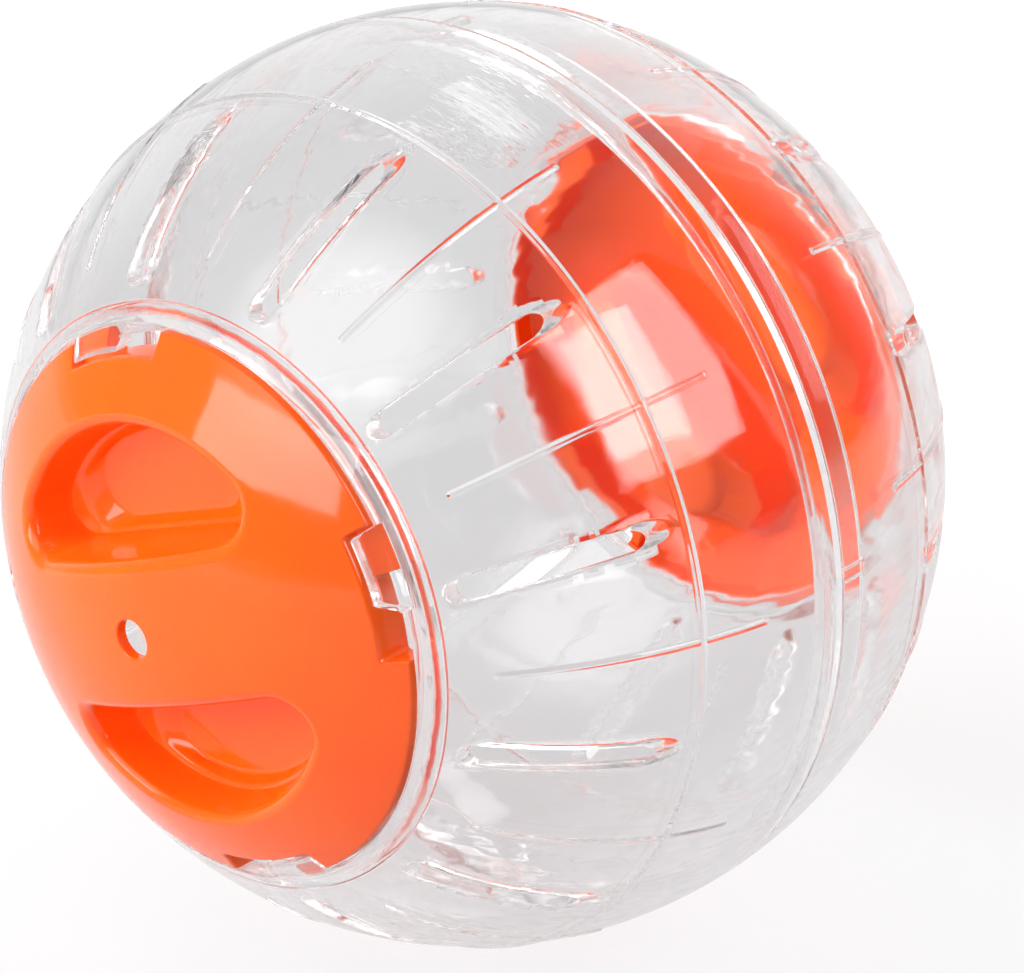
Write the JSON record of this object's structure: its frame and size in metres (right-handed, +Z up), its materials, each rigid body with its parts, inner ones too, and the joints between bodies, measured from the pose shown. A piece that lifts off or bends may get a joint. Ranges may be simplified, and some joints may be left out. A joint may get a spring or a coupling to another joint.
{
  "type": "hamster ball",
  "caption": "Clear pet exercise ball in plug-together halves, with air slots, raised ribs and a twist-lock door with finger scoops and an axle hole at each end.",
  "frame": {"origin": "centre of the closed ball", "axes": "+X along the ball's axle towards the right cap, +Z up as in the picture"},
  "size_m": [0.1198, 0.12, 0.12],
  "materials": {
    "clear_shell": "clear, polished, moulded",
    "orange_cap": "glossy, moulded, opaque orange"
  },
  "bodies": {
    "left_half": {"left_half_shell": "clear_shell"},
    "right_half": {"right_half_shell": "clear_shell"},
    "left_door": {"left_cap": "orange_cap"},
    "right_door": {"right_cap": "orange_cap"}
  },
  "joints": [
    {"name": "halves_pull", "type": "slide", "parent": "left_half", "child": "right_half", "axis": [1, 0, 0], "range_m": [0, 0.07]},
    {"name": "left_cap_twist", "type": "hinge", "parent": "left_half", "child": "left_door", "pos_m": [-0.0487, 0, 0], "axis": [-1, 0, 0], "range_deg": [0, 9.5]},
    {"name": "right_cap_twist", "type": "hinge", "parent": "right_half", "child": "right_door", "pos_m": [0.0487, 0, 0], "axis": [1, 0, 0], "range_deg": [0, 9.5]}
  ]
}
